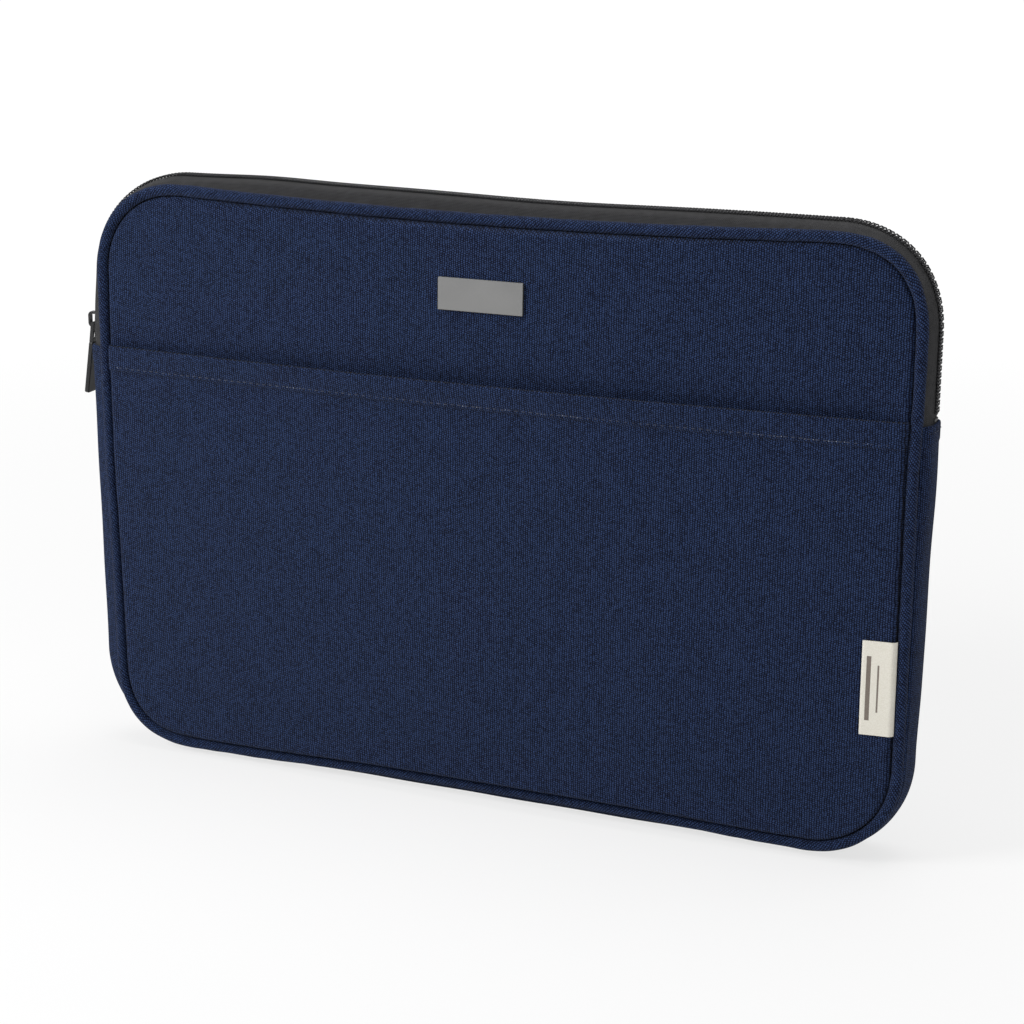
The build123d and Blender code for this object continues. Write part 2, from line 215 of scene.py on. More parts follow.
def face_depth(x, z, lift=0.0, seed=3):
    """Depth of a panel's face, from the mid plane: a shallow crown that falls with the square of the
    distance from the panel's middle, rounding over to the groove by a quarter circle near the seam,
    with small puckers along the seam and a soft unevenness over the foam."""
    inside = inside_seam(x, z)
    reach = (x**2 + (z - MID_Z) ** 2) / CORNER_REACH**2
    crown = CROWN_Y - (CROWN_Y - CORNER_Y) * reach
    walk = np.arctan2(z - MID_Z, x) * 40
    pucker = np.sin(walk) * np.sin(0.37 * walk + seed) * np.exp(-inside / (9 * MM))
    soft = ripple(x, z, seed) * smooth(inside / (20 * MM))
    crown = crown + lift + 0.16 * MM * pucker + 0.16 * MM * soft
    edge = np.clip(inside / ROLL_WIDTH, 0, 1)
    rounded = np.sqrt(np.clip(1 - (1 - edge) ** 2, 0, 1))
    return GROOVE_Y + (crown - GROOVE_Y) * (0.15 + 0.85 * rounded)


def seam_side(x, z):
    """The outward direction at the nearest place on the seam line, and which corner is nearest."""
    right, top = x > 0, z > MID_Z
    names = np.where(right, np.where(top, 1, 0), np.where(top, 2, 3))
    radii = np.array([CORNER_R[name] for name in CORNERS])[names]
    past_x = np.abs(x) - HALF_W + radii
    past_z = np.abs(z - MID_Z) - HALF_H + radii
    round_it = (past_x > 0) & (past_z > 0)
    reach = np.where(round_it, np.hypot(past_x, past_z), 1)
    out_x = np.where(round_it, past_x / reach, past_x >= past_z) * np.where(right, 1, -1)
    out_z = np.where(round_it, past_z / reach, past_x < past_z) * np.where(top, 1, -1)
    return out_x, out_z, names


def corner_share(out_x, out_z, names, amounts):
    """A swelling of each corner: none at its ends, all of it in the middle of its arc."""
    swell = np.array([amounts[name] for name in CORNERS])[names]
    return swell * 4 * out_x**2 * out_z**2


def front_ease(x, z, out_x, out_z, names):
    """How far outwards the front's seam has settled: the top hangs in a parabola, the bottom rides up in
    a broad bell, and both sides are drawn in."""
    top = np.clip(TOP_SAG * ((x / SAG_REACH) ** 2 - 1), -TOP_SAG, 0.1 * MM)
    bottom = -BOTTOM_LIFT * np.exp(-(((x - 10 * MM) / (95 * MM)) ** 4))
    left = -LEFT_TUCK * smooth((140 * MM - z) / (80 * MM))
    right = -RIGHT_TUCK * smooth((195 * MM - z) / (40 * MM))
    across = np.where(out_x > 0, right, left) * out_x**2
    along = np.where(out_z > 0, top, bottom) * out_z**2
    return across + along + corner_share(out_x, out_z, names, CORNER_FRONT)


def crest_ease(x, y, z, out_x, out_z, names):
    """The same for the crest of the gusset and zipper, which stands further out on the left: there the
    cloth swells all the way across low down, and higher up only in front of the chain and pull."""
    hang = 1.2 * MM * np.exp(-(((x - 25 * MM) / (50 * MM)) ** 2))
    hump = 0.8 * MM * np.exp(-(((x + 100 * MM) / (24 * MM)) ** 2))
    top = 0.8 * MM - hang + hump
    waist = 1.3 * MM * np.exp(-(((z - 45 * MM) / (22 * MM)) ** 2))
    right = 0.15 * MM - 1.2 * MM * smooth((165 * MM - z) / (65 * MM)) - waist
    before_chain = smooth((-y - 2.4 * MM) / (2.3 * MM))
    below_pull = smooth((152 * MM - z) / (14 * MM))
    left = LEFT_BULGE + LEFT_SWELL * smooth((225 * MM - z) / (40 * MM)) * np.maximum(before_chain, below_pull)
    across = np.where(out_x > 0, right, left) * out_x**2
    along = np.where(out_z > 0, top, 0) * out_z**2
    return across + along + corner_share(out_x, out_z, names, CORNER_CREST)


def settle(points):
    """Moves points from the nominal shape to the settled one: outwards by the front's, the crest's or the
    back's ease, whichever is nearest in depth, less and less towards the panel's middle. The lower left of
    the whole sleeve also bends back."""
    x, y, z = points[..., 0], points[..., 1], points[..., 2]
    out_x, out_z, names = seam_side(x, z)
    felt = smooth(1 - np.clip(inside_seam(x, z), 0, None) / EASE_DEPTH)
    outward = (out_x, out_z, names)
    to_front = smooth((-y - 5.5 * MM) / (4.5 * MM))
    to_back = smooth((y - 5.5 * MM) / (4.5 * MM))
    crest = crest_ease(x, y, z, *outward) * (1 - to_front - to_back)
    tuck = BACK_TUCK + (BACK_TUCK_RIGHT - BACK_TUCK) * smooth(out_x)
    moved_out = felt * (front_ease(x, z, *outward) * to_front + crest - tuck * to_back)
    left = smooth((120 * MM - x) / (260 * MM))
    low = smooth((185 * MM - z) / (170 * MM))
    moved = points.copy()
    moved[..., 0] = x + moved_out * out_x
    moved[..., 1] = y + LEAN_BACK * left * low
    moved[..., 2] = z + moved_out * out_z
    return moved


def quads(rows, columns, first=0, flip=False):
    """Faces between neighbouring points of a grid whose points are numbered row by row."""
    i, j = np.meshgrid(np.arange(rows - 1), np.arange(columns - 1), indexing="ij")
    near = i * columns + j
    faces = np.stack([near, near + 1, near + columns + 1, near + columns], -1).reshape(-1, 4) + first
    return faces[:, ::-1] if flip else faces


def rim(rows, columns, second):
    """Faces that join the border of one grid to the same border of a second one."""
    bottom = np.arange(columns)
    right = np.arange(rows) * columns + columns - 1
    top = (rows - 1) * columns + np.arange(columns)[::-1]
    left = np.arange(rows)[::-1] * columns
    border = np.concatenate([bottom, right[1:], top[1:], left[1:]])
    start, end = border[:-1], border[1:]
    return np.stack([start, start + second, end + second, end], -1)


def make_piece(name, points, faces, cloth, sharp=None):
    """A mesh object from points, faces and each point's place on the flat cloth, in metres. Points that
    meet are merged, so that seams and poles close, and the faces are turned outwards."""
    mesh = bpy.data.meshes.new(name)
    mesh.from_pydata(points.reshape(-1, 3).tolist(), [], faces.tolist())
    corner = np.zeros(len(mesh.loops), int)
    mesh.loops.foreach_get("vertex_index", corner)
    layer = mesh.uv_layers.new(name="cloth")
    layer.data.foreach_set("uv", cloth.reshape(-1, 2)[corner].astype(np.float32).ravel())
    work = bmesh.new()
    work.from_mesh(mesh)
    bmesh.ops.remove_doubles(work, verts=work.verts, dist=1e-6)
    bmesh.ops.dissolve_degenerate(work, edges=work.edges, dist=1e-7)
    bmesh.ops.recalc_face_normals(work, faces=work.faces)
    work.to_mesh(mesh)
    work.free()
    mesh.shade_smooth()
    if sharp:
        mesh.set_sharp_from_angle(angle=math.radians(sharp))
    piece = bpy.data.objects.new(name, mesh)
    bpy.context.scene.collection.objects.link(piece)
    return piece


def shell(name, outer, inner, cloth, sharp=50):
    """A closed cloth of some thickness between an outer and an inner grid of points."""
    rows, columns = outer.shape[:2]
    second = rows * columns
    sheets = [quads(rows, columns), quads(rows, columns, second, flip=True)]
    faces = np.concatenate([*sheets, rim(rows, columns, second)])
    both = np.concatenate([outer.reshape(-1, 3), inner.reshape(-1, 3)])
    return make_piece(name, both, faces, np.concatenate([cloth.reshape(-1, 2)] * 2), sharp)


def closed_panel(name, outer, inner, cloth):
    """A closed panel between two ruled grids: each grid's columns already meet all the way round, so only
    their first rows, at the seam, are joined."""
    rows, columns = outer.shape[:2]
    second = rows * columns
    edge = np.arange(columns - 1)
    joining = np.stack([edge, edge + 1, edge + 1 + second, edge + second], -1)
    faces = np.concatenate([quads(rows, columns), quads(rows, columns, second, flip=True), joining])
    points = np.concatenate([outer.reshape(-1, 3), inner.reshape(-1, 3)])
    return make_piece(name, points, faces, np.concatenate([cloth.reshape(-1, 2)] * 2))


def along_seam(s, offsets, depths):
    """Points of a profile carried along the seam line: each lies an offset outside it at a depth.
    s has one value a row, offsets and depths one a column or one a point."""
    x, z, out_x, out_z = seam_course(s)
    offsets, depths = np.broadcast_arrays(offsets, depths)
    offsets = np.broadcast_to(offsets, (len(s), offsets.shape[-1]))
    depths = np.broadcast_to(depths, offsets.shape)
    moved_x = x[:, None] + offsets * out_x[:, None]
    moved_z = z[:, None] + offsets * out_z[:, None]
    return np.stack([moved_x, depths, moved_z], -1)


def path_and_width(s, points):
    """Each point's place on the flat cloth: along the seam by its length, across by the distance walked
    over the surface from the cloth's middle line."""
    walked = np.cumsum(np.linalg.norm(np.diff(points, axis=1), axis=-1), axis=1)
    across = np.concatenate([np.zeros((len(s), 1)), walked], axis=1)
    across = across - across[:, [points.shape[1] // 2]]
    along = np.broadcast_to((s * SEAM_LENGTH)[:, None], across.shape)
    return np.stack([across, along], -1)


# ======================================================================================================
# finishes
# ======================================================================================================
def srgb(red, green, blue):
    """A linear colour from the eight-bit one that a screen shows."""
    parts = [value / 255 for value in (red, green, blue)]
    return tuple(v / 12.92 if v <= 0.04045 else ((v + 0.055) / 1.055) ** 2.4 for v in parts) + (1.0,)


class Finish:
    """A material being put together. Each call adds a node and gives its output."""

    def __init__(self, name, **values):
        self.material = bpy.data.materials.new(name)
        self.material.use_nodes = True
        self.nodes = self.material.node_tree.nodes
        self.links = self.material.node_tree.links
        self.surface = self.nodes["Principled BSDF"]
        for socket, value in values.items():
            self.surface.inputs[socket.replace("_", " ")].default_value = value

    def node(self, kind, out=0, settings=None, **sockets):
        """A node of a kind, its settings and its sockets, each a value or another node's output."""
        made = self.nodes.new(kind)
        for key, value in (settings or {}).items():
            setattr(made, key, value)
        for key, value in sockets.items():
            place = made.inputs[int(key[1:]) if key[1:].isdigit() else key.replace("_", " ")]
            self.plug(value, place)
        return made.outputs[out]

    def plug(self, value, place):
        if isinstance(value, bpy.types.NodeSocket):
            self.links.new(value, place)
        else:
            place.default_value = value

    def math(self, operation, a, b=0.0, c=0.0, clamp=False):
        settings = {"operation": operation, "use_clamp": clamp}
        return self.node("ShaderNodeMath", settings=settings, i0=a, i1=b, i2=c)

    def mix(self, share, dark, light):
        """A colour between two, by a share."""
        made = self.nodes.new("ShaderNodeMix")
        made.data_type = "RGBA"
        self.plug(share, made.inputs["Factor"])
        self.plug(dark, made.inputs[6])
        self.plug(light, made.inputs[7])
        return made.outputs[2]

    def noise(self, place, scale, detail=2.0, rough=0.5):
        settings = {"noise_dimensions": "3D"}
        return self.node(
            "ShaderNodeTexNoise", settings=settings, Vector=place, Scale=scale, Detail=detail, Roughness=rough
        )

    def stretched(self, place, x=1.0, y=1.0, z=1.0, turn=0.0):
        made = self.nodes.new("ShaderNodeMapping")
        self.links.new(place, made.inputs["Vector"])
        made.inputs["Scale"].default_value = (x, y, z)
        made.inputs["Rotation"].default_value = (0, 0, turn)
        return made.outputs[0]

    def cloth_place(self):
        return self.node("ShaderNodeUVMap", settings={"uv_map": "cloth"})

    def object_place(self):
        return self.node("ShaderNodeTexCoord", out=3)

    def bump(self, height, strength, distance):
        return self.node("ShaderNodeBump", Height=height, Strength=strength, Distance=distance)

    def colour(self, value):
        self.plug(value, self.surface.inputs["Base Color"])

    def normal(self, value):
        self.plug(value, self.surface.inputs["Normal"])

    def roughness(self, value):
        self.plug(value, self.surface.inputs["Roughness"])


def weave(finish, place, rib, nub):
    """Height and a random tone of plain canvas: ribs side by side, each a string of nubs, with
    neighbouring ribs half a nub apart. The ribs wander a little and swell and thin along their length."""
    wander = finish.noise(place, 240.0, 3.0, 0.6)
    wander = finish.math("MULTIPLY_ADD", wander, 1.5, -0.75)
    apart = finish.node("ShaderNodeSeparateXYZ", Vector=place)
    across = apart
    along = apart.node.outputs[1]
    rib_count = finish.math("MULTIPLY_ADD", across, 1 / rib, wander)
    rib_number = finish.math("FLOOR", rib_count)
    odd = finish.math("FRACT", finish.math("MULTIPLY", rib_number, 0.5))
    nub_count = finish.math("ADD", finish.math("MULTIPLY_ADD", along, 1 / nub, wander), odd)
    nub_number = finish.math("FLOOR", nub_count)
    rib_shape = finish.math("SINE", finish.math("MULTIPLY", finish.math("FRACT", rib_count), math.pi))
    nub_shape = finish.math("SINE", finish.math("MULTIPLY", finish.math("FRACT", nub_count), math.pi))
    height = finish.math("MULTIPLY", rib_shape, finish.math("MULTIPLY_ADD", nub_shape, 0.92, 0.08))
    cell = finish.node("ShaderNodeCombineXYZ", X=rib_number, Y=nub_number)
    tone = finish.node("ShaderNodeTexWhiteNoise", settings={"noise_dimensions": "2D"}, Vector=cell)
    return height, tone


def canvas_finish(name, turn=0.0):
    """Navy cotton canvas: painted shade between the threads and a painted highlight on each nub, with the
    yarn's own random tone from nub to nub, mottled as recycled yarn is.
    """
    finish = Finish(name, Roughness=0.92, Sheen_Weight=0.05, Sheen_Roughness=0.5, Specular_IOR_Level=0.1)
    place = finish.stretched(finish.cloth_place(), turn=turn)
    height, tone = weave(finish, place, 0.98 * MM, 0.86 * MM)
    mottle = finish.noise(place, 85.0, 4.0, 0.62)
    slub = finish.noise(finish.stretched(place, 900.0, 70.0), 1.0, 2.0)
    fuzz = finish.noise(place, 2600.0, 2.0)
    # painted shade and highlight: the colour follows the weave's height, dark in the gaps and light on the
    # nub tops; the tone per nub, the slubs and the mottle are the yarn's own
    bright = finish.math("MULTIPLY_ADD", tone, 1.1, 1.0)
    light = finish.math("MULTIPLY", height, bright)
    light = finish.math("MULTIPLY_ADD", slub, 0.2, light)
    light = finish.math("MULTIPLY_ADD", mottle, 0.24, light)
    light = finish.math("ADD", light, -0.5, clamp=True)
    # the near-black end is painted shade in the gaps, the light end painted highlight on the nubs
    finish.colour(finish.mix(light, srgb(6, 10, 27), srgb(49, 67, 106)))
    raised = finish.math("MULTIPLY_ADD", fuzz, 0.25, height)
    finish.normal(finish.bump(raised, 0.8, 0.35 * MM))
    return finish.material


def fine_cloth_finish(name, dark, light, rib, depth):
    """A fine plain cloth, such as a lining or binding, of two close tones: painted shade between the threads
    and a painted highlight on their tops, over a random tone per thread and a soft cloud.
    """
    finish = Finish(name, Roughness=0.85, Sheen_Weight=0.08, Sheen_Roughness=0.5, Specular_IOR_Level=0.25)
    place = finish.cloth_place()
    height, tone = weave(finish, place, rib, rib * 0.9)
    cloud = finish.noise(place, 140.0, 3.0)
    # painted shade and highlight: half the share follows the weave's height; the tone per thread and the
    # cloud are the cloth's own
    share = finish.math("MULTIPLY_ADD", tone, 0.3, finish.math("MULTIPLY", height, 0.5))
    share = finish.math("MULTIPLY_ADD", cloud, 0.4, finish.math("ADD", share, -0.15), clamp=True)
    finish.colour(finish.mix(share, dark, light))
    finish.normal(finish.bump(height, 0.5, depth))
    return finish.material


def tape_finish():
    """Black zipper tape: a herringbone of fine ribs that lean one way, then the other, across it, with
    painted shade in the grooves and a painted highlight on the rib tops over a soft cloud.
    """
    finish = Finish("zipper_tape_black", Roughness=0.78, Sheen_Weight=0.1, Specular_IOR_Level=0.3)
    place = finish.cloth_place()
    apart = finish.node("ShaderNodeSeparateXYZ", Vector=place)
    across, along = apart, apart.node.outputs[1]
    fold = finish.math("PINGPONG", across, 2.4 * MM)
    lean = finish.math("ADD", along, fold)
    twill = finish.math("SINE", finish.math("MULTIPLY", lean, 2 * math.pi / (0.8 * MM)))
    cord = finish.math("SINE", finish.math("MULTIPLY", across, 2 * math.pi / (0.62 * MM)))
    height = finish.math("MULTIPLY_ADD", twill, 0.6, finish.math("MULTIPLY", cord, 0.4))
    cloud = finish.noise(place, 300.0, 3.0)
    # painted shade and highlight: the colour follows the ribs' height, dark in the grooves and light on the
    # tops; the cloud is the tape's own
    share = finish.math("MULTIPLY_ADD", height, 0.5, cloud, clamp=True)
    finish.colour(finish.mix(share, srgb(14, 14, 15), srgb(54, 54, 57)))
    finish.normal(finish.bump(height, 0.8, 0.2 * MM))
    return finish.material


def nylon_finish():
    """Black nylon monofilament: smooth, a little glossy, slightly uneven in tone."""
    finish = Finish("nylon_black", Roughness=0.36, Specular_IOR_Level=0.5)
    cloud = finish.noise(finish.object_place(), 400.0, 2.0)
    finish.colour(finish.mix(cloud, srgb(20, 20, 22), srgb(56, 56, 60)))
    finish.roughness(finish.math("MULTIPLY_ADD", cloud, 0.25, 0.25))
    return finish.material


def thread_finish(name, dark, light):
    """Twisted sewing thread: fine slanting ply lines of painted shade and painted highlight over a soft tone.
    """
    finish = Finish(name, Roughness=0.7, Sheen_Weight=0.2)
    place = finish.object_place()
    apart = finish.node("ShaderNodeSeparateXYZ", Vector=place)
    lean = finish.math("ADD", apart, apart.node.outputs[2])
    ply = finish.math("SINE", finish.math("MULTIPLY", lean, 2 * math.pi / (0.35 * MM)))
    # painted shade and highlight: the colour follows the ply's height; the noise is the thread's own tone
    share = finish.math("MULTIPLY_ADD", ply, 0.3, finish.noise(place, 700.0), clamp=True)
    finish.colour(finish.mix(share, dark, light))
    finish.normal(finish.bump(ply, 0.4, 0.05 * MM))
    return finish.material


def label_finish():
    """Cream woven label: a fine satin with two plain woven bars, one broad, one narrow, with painted shade
    between the threads and a painted highlight on their tops over a random tone per thread.
    """
    finish = Finish("label_cream", Roughness=0.8, Sheen_Weight=0.1, Specular_IOR_Level=0.25)
    place = finish.cloth_place()
    height, tone = weave(finish, place, 0.34 * MM, 0.3 * MM)
    apart = finish.node("ShaderNodeSeparateXYZ", Vector=place)
    across, along = apart, apart.node.outputs[1]

    def bar(middle, half_width, half_length):
        away = finish.math("ABSOLUTE", finish.math("SUBTRACT", across, middle))
        side = finish.math("LESS_THAN", away, half_width)
        end = finish.math("LESS_THAN", finish.math("ABSOLUTE", along), half_length)
        return finish.math("MULTIPLY", side, end)

    broad = bar(-2.2 * MM, 0.9 * MM, 13.0 * MM)
    narrow = bar(1.6 * MM, 0.35 * MM, 9.5 * MM)
    bars = finish.math("ADD", broad, narrow, clamp=True)
    # painted shade and highlight: half the share follows the weave's height; the tone per thread is the
    # label's own, and the bars are its woven figure
    share = finish.math("MULTIPLY_ADD", tone, 0.35, finish.math("MULTIPLY", height, 0.5), clamp=True)
    ground = finish.mix(share, srgb(226, 221, 206), srgb(252, 249, 240))
    figure = finish.mix(share, srgb(112, 102, 94), srgb(150, 140, 130))
    finish.colour(finish.mix(bars, ground, figure))
    finish.normal(finish.bump(height, 0.35, 0.08 * MM))
    return finish.material


def badge_finish():
    """Matte grey plated metal, very finely blasted, with faint handling marks, and painted shade along its
    right and bottom edges, standing in for the plate's shaded side and the shadow it casts.
    """
    finish = Finish("badge_grey", Metallic=0.35, Roughness=0.5, Specular_IOR_Level=0.4)
    place = finish.object_place()
    grain = finish.noise(place, 3500.0, 2.0)
    cloud = finish.noise(place, 90.0, 3.0)
    share = finish.math("MULTIPLY_ADD", cloud, 0.5, finish.math("MULTIPLY", grain, 0.4), clamp=True)
    # painted shade: a near-black band a quarter millimetre wide along the plate's right and bottom edges
    # stands in for its shaded side and its shadow on the cloth
    low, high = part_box("badge_plate")
    apart = finish.node("ShaderNodeSeparateXYZ", Vector=place)
    beside = finish.math("GREATER_THAN", apart, high[0] - 0.25 * MM)
    below = finish.math("LESS_THAN", apart.node.outputs[2], low[2] + 0.25 * MM)
    face = finish.mix(share, srgb(124, 124, 124), srgb(146, 146, 145))
    edge = finish.math("ADD", beside, below, clamp=True)
    finish.colour(finish.mix(finish.math("MULTIPLY", edge, 0.85), face, srgb(26, 27, 30)))
    finish.roughness(finish.math("MULTIPLY_ADD", cloud, 0.2, 0.4))
    finish.normal(finish.bump(grain, 0.15, 0.03 * MM))
    return finish.material


def enamel_finish(name, low, high, gloss):
    """Black enamel or moulded plastic: faint orange peel, with rubbed, slightly paler patches."""
    finish = Finish(name, Roughness=gloss, Specular_IOR_Level=0.5)
    place = finish.object_place()
    peel = finish.noise(place, 900.0, 2.0)
    wear = finish.noise(place, 220.0, 4.0, 0.6)
    finish.colour(finish.mix(wear, low, high))
    finish.roughness(finish.math("MULTIPLY_ADD", wear, 0.2, gloss - 0.1))
    finish.normal(finish.bump(peel, 0.12, 0.04 * MM))
    return finish.material


CANVAS = canvas_finish("canvas_navy")
CANVAS_BIAS = canvas_finish("canvas_navy_bias", turn=math.radians(45))
LINING_CLOTH = fine_cloth_finish("lining_blue_grey", srgb(38, 42, 52), srgb(74, 80, 94), 0.5 * MM, 0.1 * MM)
BINDING_CLOTH = fine_cloth_finish("binding_black", srgb(22, 22, 24), srgb(48, 48, 51), 0.7 * MM, 0.15 * MM)
TAPE_CLOTH = tape_finish()
NYLON = nylon_finish()
NAVY_THREAD = thread_finish("thread_navy", srgb(14, 20, 40), srgb(44, 57, 88))
PALE_THREAD = thread_finish("thread_pale", srgb(96, 106, 128), srgb(160, 166, 180))
BLACK_THREAD = thread_finish("thread_black", srgb(16, 16, 18), srgb(42, 42, 45))
LABEL_CLOTH = label_finish()
BADGE_METAL = badge_finish()
ENAMEL = enamel_finish("enamel_black", srgb(10, 10, 11), srgb(26, 26, 28), 0.34)
PULL_PLASTIC = enamel_finish("pull_black", srgb(5, 5, 6), srgb(18, 18, 20), 0.46)
STOP_METAL = enamel_finish("stop_black", srgb(24, 24, 26), srgb(52, 52, 54), 0.4)


def dress(piece, finish):
    """Gives a new piece its finish."""
    piece.data.materials.clear()
    piece.data.materials.append(finish)
    return piece


def bend_with_mouth(piece):
    """Bakes the piece's placement into its points."""
    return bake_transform(piece)


# ======================================================================================================
# panels: canvas over foam, and the lining behind
# ======================================================================================================
RIM_STEPS = np.array([-0.9, 0, 0.12, 0.3, 0.55, 0.9, 1.3, 1.8, 2.4, 3.1, 3.9, 5.0, 6.5, 8.5]) * MM
SPINE = HALF_W - HALF_H  # half the level segment that a panel's ruled lines run to


def panel_shares():
    """Shares of the seam line where a panel's ruled lines start. Along the spine the lines from below
    and from above start at the same widths, so that they meet."""
    step = 3.0 * MM
    level = np.linspace(0, SPINE, int(SPINE / step) + 1)
    low, top = CORNER_R["right_low"], CORNER_R["right_top"]
    top_right = HALF_W + 2 * HALF_H + HALF_W - (low + top) * (2 - math.pi / 2) - SPINE
    low, top = CORNER_R["left_low"], CORNER_R["left_top"]
    low_left = top_right + 2 * SPINE + 2 * HALF_H + 2 * (HALF_W - SPINE) - (low + top) * (2 - math.pi / 2)
    side = np.linspace(0, 1, int((top_right - SPINE) / step) + 1)[1:-1]
    top_left = top_right + 2 * SPINE
    parts = [level, SPINE + (top_right - SPINE) * side, top_right + SPINE - level[::-1]]
    parts += [top_right + SPINE + level[1:], top_left + (low_left - top_left) * side, low_left + level]
    return np.concatenate(parts) / SEAM_LENGTH


SHARES = panel_shares()


def across_panel(step=3.6 * MM):
    """Distances in from the seam: close together where the panel rounds over, then even."""
    rest = np.linspace(RIM_STEPS[-1], HALF_H, int((HALF_H - RIM_STEPS[-1]) / step) + 1)
    return np.concatenate([RIM_STEPS, rest[1:]])


def ruled(distances):
    """Places on a panel: each line runs from the seam line to the panel's spine, a level segment where
    the lines from above and below meet, and a place lies its distance's share along it."""
    x, z, _, _ = seam_course(SHARES)
    spine_x = np.clip(x, -SPINE, SPINE)
    share = (distances / HALF_H)[:, None]
    return x + (spine_x - x) * share, z + (MID_Z - z) * share


def panel_padding(name, side, seed):
    """A padded panel as one closed form: the outer face is the crowned canvas, the inner face follows
    the same crown behind the foam, and the two meet inside the groove."""
    distances = across_panel()
    x, z = ruled(distances)
    depth = face_depth(x, z, seed=seed)
    if side < 0:  # pressed in along the pocket's mouth
        pressed = np.exp(-(((z - POCKET_TOP) / (6.5 * MM)) ** 2)) * smooth(distances / (16 * MM))[:, None]
        depth = depth - MOUTH_DIP * pressed
    depth[0] = GROOVE_Y - 0.4 * MM
    behind = face_depth(x, z, seed=seed) - PADDING * smooth(distances / (7 * MM))[:, None]
    behind[0] = GROOVE_Y - 1.0 * MM
    behind = np.minimum(behind, depth - 0.3 * MM)
    outer = settle(np.stack([x, side * depth, z], -1))
    inner = settle(np.stack([x, side * behind, z], -1))
    piece = closed_panel(name, outer, inner, outer[..., [0, 2]])
    dress(piece, CANVAS)
    return piece


def panel_lining(name, side, seed):
    """The lining: a thin cloth just inside the padding, over the whole panel."""
    distances = across_panel(5.0 * MM)[1:]
    x, z = ruled(distances)
    base = face_depth(x, z, seed=seed) - PADDING * smooth(distances / (7 * MM))[:, None]
    base = np.maximum(base, 7.2 * MM) - 0.12 * MM
    near, far = [settle(np.stack([x, side * depth, z], -1)) for depth in (base, base - LINING)]
    piece = closed_panel(name, near, far, np.stack([x, z], -1))
    dress(piece, LINING_CLOTH)
    return piece


front_panel = panel_padding("front_panel", -1, 3)
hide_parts("front_canvas_lower", "front_canvas_upper", "front_foam_lower", "front_foam_upper")
bend_with_mouth(front_panel)

back_panel = panel_padding("back_panel", 1, 11)
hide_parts("back_canvas", "back_foam")
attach(back_panel, "sleeve")

front_lining = panel_lining("front_lining", -1, 3)
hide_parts("front_lining_lower", "front_lining_upper")
bend_with_mouth(front_lining)

back_lining = panel_lining("back_lining_cloth", 1, 11)
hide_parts("back_lining")
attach(back_lining, "sleeve")


# ======================================================================================================
# piping and seam bindings
# ======================================================================================================
def piping(name, side):
    """A covered cord along the seam line: a circle, slightly wider than deep and uneven along its
    length, carried all the way round."""
    turn = np.linspace(0, 2 * math.pi, 25)
    s = np.linspace(0, 1, 701)
    along = (s * 2 * math.pi)[:, None]
    swell = 1 + 0.025 * np.sin(31 * along + 1) + 0.02 * np.sin(67 * along) + 0.012 * np.sin(113 * along + 2)
    radius = PIPING_R * swell
    offsets = PIPING_OFF + radius * np.cos(turn) * 1.03
    depths = side * (PIPING_Y + radius * np.sin(turn))
    points = settle(along_seam(s, offsets, depths))
    arc = turn * PIPING_R
    cloth = np.stack(np.meshgrid(s * SEAM_LENGTH, arc, indexing="ij"), -1)
    piece = make_piece(name, points, quads(len(s), len(turn)), cloth)
    return dress(piece, CANVAS_BIAS)


front_piping = piping("front_piping", -1)
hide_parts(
    "front_piping_cover_lower",
    "front_piping_cover_upper",
    "front_piping_cord_lower",
    "front_piping_cord_upper",
)
bend_with_mouth(front_piping)

back_piping = piping("back_piping", 1)
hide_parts("back_piping_cover", "back_piping_cord")
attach(back_piping, "sleeve")


def binding(name, side):
    """The bound seam allowance inside: a loop of tape round the raw edges, a square with rounded corners
    carried along the seam line."""
    turn = np.linspace(0, 2 * math.pi, 17)
    s = np.linspace(0, 1, 361)
    offsets = (1.4 + 1.15 * np.sign(np.cos(turn)) * np.abs(np.cos(turn)) ** 0.6) * MM
    depths = side * (8.2 + 1.1 * np.sign(np.sin(turn)) * np.abs(np.sin(turn)) ** 0.6) * MM
    points = settle(along_seam(s, offsets, depths))
    cloth = np.stack(np.meshgrid(s * SEAM_LENGTH, turn * MM, indexing="ij"), -1)[..., ::-1]
    piece = make_piece(name, points, quads(len(s), len(turn)), cloth)
    return dress(piece, BINDING_CLOTH)


front_binding = binding("front_binding", -1)
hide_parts("front_seam_binding_lower", "front_seam_binding_upper")
bend_with_mouth(front_binding)

back_binding = binding("back_binding", 1)
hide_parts("back_seam_binding")
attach(back_binding, "sleeve")


# ======================================================================================================
# gusset: canvas round the bottom and up the sides
# ======================================================================================================
GUSSET_SHARES = (share_at_height(GUSSET_TOP, -1) - 1, share_at_height(GUSSET_TOP, 1))


def gusset_arch(depths, crest):
    """How far outside the seam a gusset stands: its crest less a drop that grows as a power of the
    distance from the mid plane, and a crease beside the piping."""
    crease = GUSSET_CREASE * smooth((np.abs(depths) - 8.4 * MM) / (1.8 * MM))
    return crest - GUSSET_DROP * (np.abs(depths) / GUSSET_FOOT) ** 2.6 - crease


